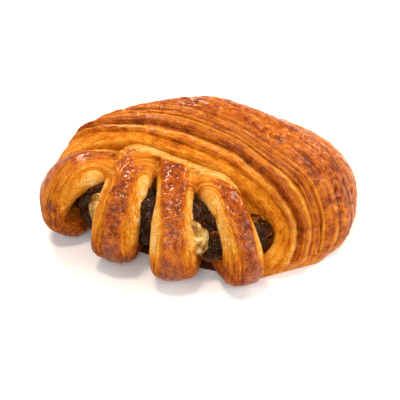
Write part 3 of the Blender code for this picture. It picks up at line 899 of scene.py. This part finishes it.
def make_crust():
    """Laminated yeast dough, egg-washed and baked: thin plies along the grain, a satin shell that is
    browner and glossier where the wash lies, and fine roasted specks."""
    material, tree, shader = new_material("egg_washed_laminated_crust")
    tone, glaze, streak, grain = (add(tree, "ShaderNodeAttribute", {"attribute_name": title}).outputs
                                  for title in ("tone", "glaze", "streak", "grain"))
    place = add(tree, "ShaderNodeTexCoord").outputs["Object"]
    # The grain is in millimetres along and across the plies.  Plies are drawn
    # about 1 mm thick and 10 mm long, as thinner ones wouldn't show, and flakes
    # on them about 0.4 mm by 3 mm.
    stretched = (
        add(tree, "ShaderNodeVectorMath", {"operation": "MULTIPLY"}, _0=grain["Vector"], _1=scale).outputs[0]
        for scale in ((0.10, 1.0, 1.0), (0.30, 2.6, 1.0)))
    waves, flakes = (
        add(tree, "ShaderNodeTexNoise", Vector=stretch, Scale=1.0, Detail=2.0, Roughness=0.6).outputs[0]
        for stretch in stretched)
    edges = add(tree, "ShaderNodeMath", {"operation": "ABSOLUTE"}, _0=sums(tree, 0.0, (waves, 1.0)))
    plies = add(tree, "ShaderNodeMapRange", Value=edges.outputs[0], From_Max=0.07, To_Min=1.0, To_Max=0.4)
    # Specks half a millimetre across, patches of 4 mm, and blisters of about
    # 2 mm where the wash is thick and few plies show.
    specks, patches, blisters = (
        add(tree, "ShaderNodeTexNoise", Vector=place, Scale=scale, Detail=detail, Roughness=rough).outputs[0]
        for scale, detail, rough in ((1900.0, 2.0, 0.7), (240.0, 3.0, 0.6), (430.0, 3.0, 0.65)))
    layered = sums(tree, 0.5, (plies.outputs[0], 0.20), (waves, 0.35), (flakes, 0.58))
    blistered = sums(tree, 0.5, (blisters, 0.70))
    surface = add(tree, "ShaderNodeMix", {"data_type": "FLOAT"}, _0=streak["Fac"], _2=blistered,
                  _3=layered).outputs[0]
    browned = sums(tree, tone["Fac"], (surface, 1.0), (specks, 0.85), (patches, 0.42))
    skin = add(tree, "ShaderNodeValToRGB", stops=CRUST_STOPS, Fac=browned)
    relief = sums(tree, 0.0, (surface, -1.0), (specks, 0.9))
    bump = add(tree, "ShaderNodeBump", Height=relief, Strength=1.0, Distance=0.0014)
    # Bare crust is nearly matt, and the wash makes it shine.
    shine, rough, wash = (
        add(tree, "ShaderNodeMapRange", Value=glaze["Fac"], To_Min=bare, To_Max=washed).outputs[0]
        for bare, washed in ((0.2, 0.42), (0.50, 0.24), (0.0, 0.36)))
    fill(tree, shader, Base_Color=skin.outputs["Color"], Roughness=rough, IOR=1.45, Normal=bump.outputs[0],
         Specular_IOR_Level=shine, Specular_Tint=colour(AMBER_SHINE), Coat_Weight=wash, Coat_Roughness=0.13)
    return material


def make_raisin_skin():
    """Raisins in fruit syrup: near-black wrinkled skins, wet and glossy, amber where syrup pools."""
    material, tree, shader = new_material("raisins_in_dark_syrup")
    syrup = add(tree, "ShaderNodeAttribute", {"attribute_name": "syrup"})
    place = add(tree, "ShaderNodeTexCoord").outputs["Object"]
    # Mottling of 1 mm, wrinkles 0.7 mm apart, and painted glints under half a
    # millimetre across.
    mottle, wrinkles, glint_noise = (
        add(tree, "ShaderNodeTexNoise", Vector=place, Scale=scale, Detail=detail, Roughness=rough).outputs[0]
        for scale, detail, rough in ((900.0, 3.0, 0.65), (1500.0, 3.0, 0.7), (2300.0, 1.0, 0.5)))
    wet = sums(tree, syrup.outputs["Fac"], (mottle, 1.3))
    # Painted highlights: pale specks in the colour stand in for glints off the wet skins.
    glints = add(tree, "ShaderNodeMapRange", Value=glint_noise, From_Min=0.66, From_Max=0.74)
    skin = add(tree, "ShaderNodeValToRGB", stops=RAISIN_STOPS, Fac=wet)
    glinted = add(tree, "ShaderNodeMix", {"data_type": "RGBA"}, _0=glints.outputs[0],
                  _6=skin.outputs["Color"], _7=colour(PAINTED_GLINT))
    bump = add(tree, "ShaderNodeBump", Height=wrinkles, Strength=1.0, Distance=0.0012)
    fill(tree, shader, Base_Color=glinted.outputs[2], Roughness=0.13, Normal=bump.outputs[0],
         Specular_IOR_Level=0.36, Specular_Tint=colour(AMBER_SHINE), Coat_Weight=0.1, Coat_Roughness=0.06)
    return material


def make_custard_finish():
    """Baked egg custard: pale yellow curd, a little wet, with hollows browner as painted shade."""
    material, tree, shader = new_material("baked_egg_custard")
    curd = add(tree, "ShaderNodeAttribute", {"attribute_name": "curd"})
    place = add(tree, "ShaderNodeTexCoord").outputs["Object"]
    # Curds of just over 1 mm, and stains of syrup 3 mm across.
    mottle, stains = (
        add(tree, "ShaderNodeTexNoise", Vector=place, Scale=scale, Detail=detail, Roughness=0.6).outputs[0]
        for scale, detail in ((800.0, 3.0), (330.0, 2.0)))
    # Painted shade: the curd's hollows, in its shape and its bump, are browner and its tops paler.
    half = add(tree, "ShaderNodeMapRange", Value=curd.outputs["Fac"], From_Min=-1.0, From_Max=1.0)
    mixed = sums(tree, half.outputs[0], (mottle, 1.1), (stains, 1.0))
    skin = add(tree, "ShaderNodeValToRGB", stops=CUSTARD_STOPS, Fac=mixed)
    bump = add(tree, "ShaderNodeBump", Height=mottle, Strength=0.8, Distance=0.001)
    fill(tree, shader, Base_Color=skin.outputs["Color"], Roughness=0.24, Normal=bump.outputs[0],
         Specular_Tint=colour(CUSTARD_SHINE))
    return material


def make_table_finish():
    """Matt white melamine board, with a faint shading 250 mm across."""
    material, tree, shader = new_material("matt_white_board")
    place = add(tree, "ShaderNodeTexCoord").outputs["Object"]
    faint = add(tree, "ShaderNodeTexNoise", Vector=place, Scale=4.0, Detail=2.0)
    skin = add(tree, "ShaderNodeValToRGB", stops=BOARD_STOPS, Fac=faint.outputs["Fac"])
    fill(tree, shader, Base_Color=skin.outputs["Color"], Roughness=0.6)
    return material


def dress(obj, material, node):
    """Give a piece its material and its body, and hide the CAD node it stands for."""
    obj.data.materials.clear()
    obj.data.materials.append(material)
    obj.data.polygons.foreach_set("use_smooth", [True] * len(obj.data.polygons))
    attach(obj, "root")
    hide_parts(node)


# ---------------- the object
palm = make_palm()
toes = [make_toe(name, *facts) for name, facts in TOES.items()]
front = merge_front(make_collar(), toes)
finish_front(front)
underside = make_underside()
filling = make_filling()
custard = make_custard()
crust = make_crust()
for piece in (palm, front, underside):
    dress(piece, crust, "dough")
dress(filling, make_raisin_skin(), "raisin_filling")
dress(custard, make_custard_finish(), "custard")


# ---------------- table, light, camera
TABLE_SIZE = 12                     # metres
WHITE = "#ffffff"
WARM_WHITE = "#ffe8d2"
ROOM_LIGHT = 0.36
LIGHTS_AIM = (0, 0, 0.02)
# Softboxes: where each stands and its width and height in metres, its watts and
# its colour.
SOFTBOXES = {
    "front_softbox": ((-0.10, -0.70, 0.60), (0.6, 0.5), 4.6, WHITE),
    "right_softbox": ((0.60, -0.30, 0.40), (0.5, 0.4), 3.6, WHITE),
    "back_softbox": ((-0.25, 0.50, 0.55), (0.22, 0.16), 5.2, WARM_WHITE),
    "back_right_softbox": ((0.42, 0.38, 0.50), (0.26, 0.20), 3.2, WARM_WHITE),
    "top_key": ((-0.12, -0.05, 0.80), (0.16, 0.16), 3.0, WARM_WHITE),
}
CAMERA_AIM = (0.0, -4.0, 16.0)      # in the shape's own coordinates, in millimetres
CAMERA_FAR = 417.0
CAMERA_UP = 40.0                    # degrees above the table


def make_table():
    """A white table top under the pastry."""
    bpy.ops.object.select_all(action="DESELECT")
    bpy.ops.mesh.primitive_plane_add(size=TABLE_SIZE)
    table = bpy.context.active_object
    table.name = "table"
    table.data.materials.append(make_table_finish())


def add_softbox(name, place, size, power, shade):
    """One rectangular lamp, turned to the pastry."""
    light = bpy.data.lights.new(name, "AREA")
    light.color = colour(shade)[:3]
    light.shape = "RECTANGLE"
    light.size, light.size_y = size
    light.energy = power
    obj = bpy.data.objects.new(name, light)
    bpy.context.scene.collection.objects.link(obj)
    obj.location = place
    obj.rotation_mode = "QUATERNION"
    obj.rotation_quaternion = (Vector(LIGHTS_AIM) - Vector(place)).to_track_quat("-Z", "Y")


def light_room(strength):
    """Even white light from all round."""
    world = bpy.data.worlds.new("white_room")
    bpy.context.scene.world = world
    world.use_nodes = True
    background = world.node_tree.nodes["Background"]
    background.inputs["Color"].default_value = colour(WHITE)
    background.inputs["Strength"].default_value = strength


def add_camera():
    """The camera, in front of the pastry and above it."""
    data = bpy.data.cameras.new("camera")
    data.lens = 85
    data.sensor_width = 36
    data.clip_start = 0.01
    camera = bpy.data.objects.new("camera", data)
    bpy.context.scene.collection.objects.link(camera)
    up = math.radians(CAMERA_UP)
    back = Vector((0, -math.cos(up), math.sin(up)))
    camera.location = (Vector(CAMERA_AIM) + Vector(SHIFT) + back * CAMERA_FAR) * MM
    camera.rotation_mode = "QUATERNION"
    camera.rotation_quaternion = (-back).to_track_quat("-Z", "Y")
    bpy.context.scene.camera = camera


make_table()
light_room(ROOM_LIGHT)
for name, facts in SOFTBOXES.items():
    add_softbox(name, *facts)
add_camera()
bpy.context.scene.view_settings.view_transform = "Standard"
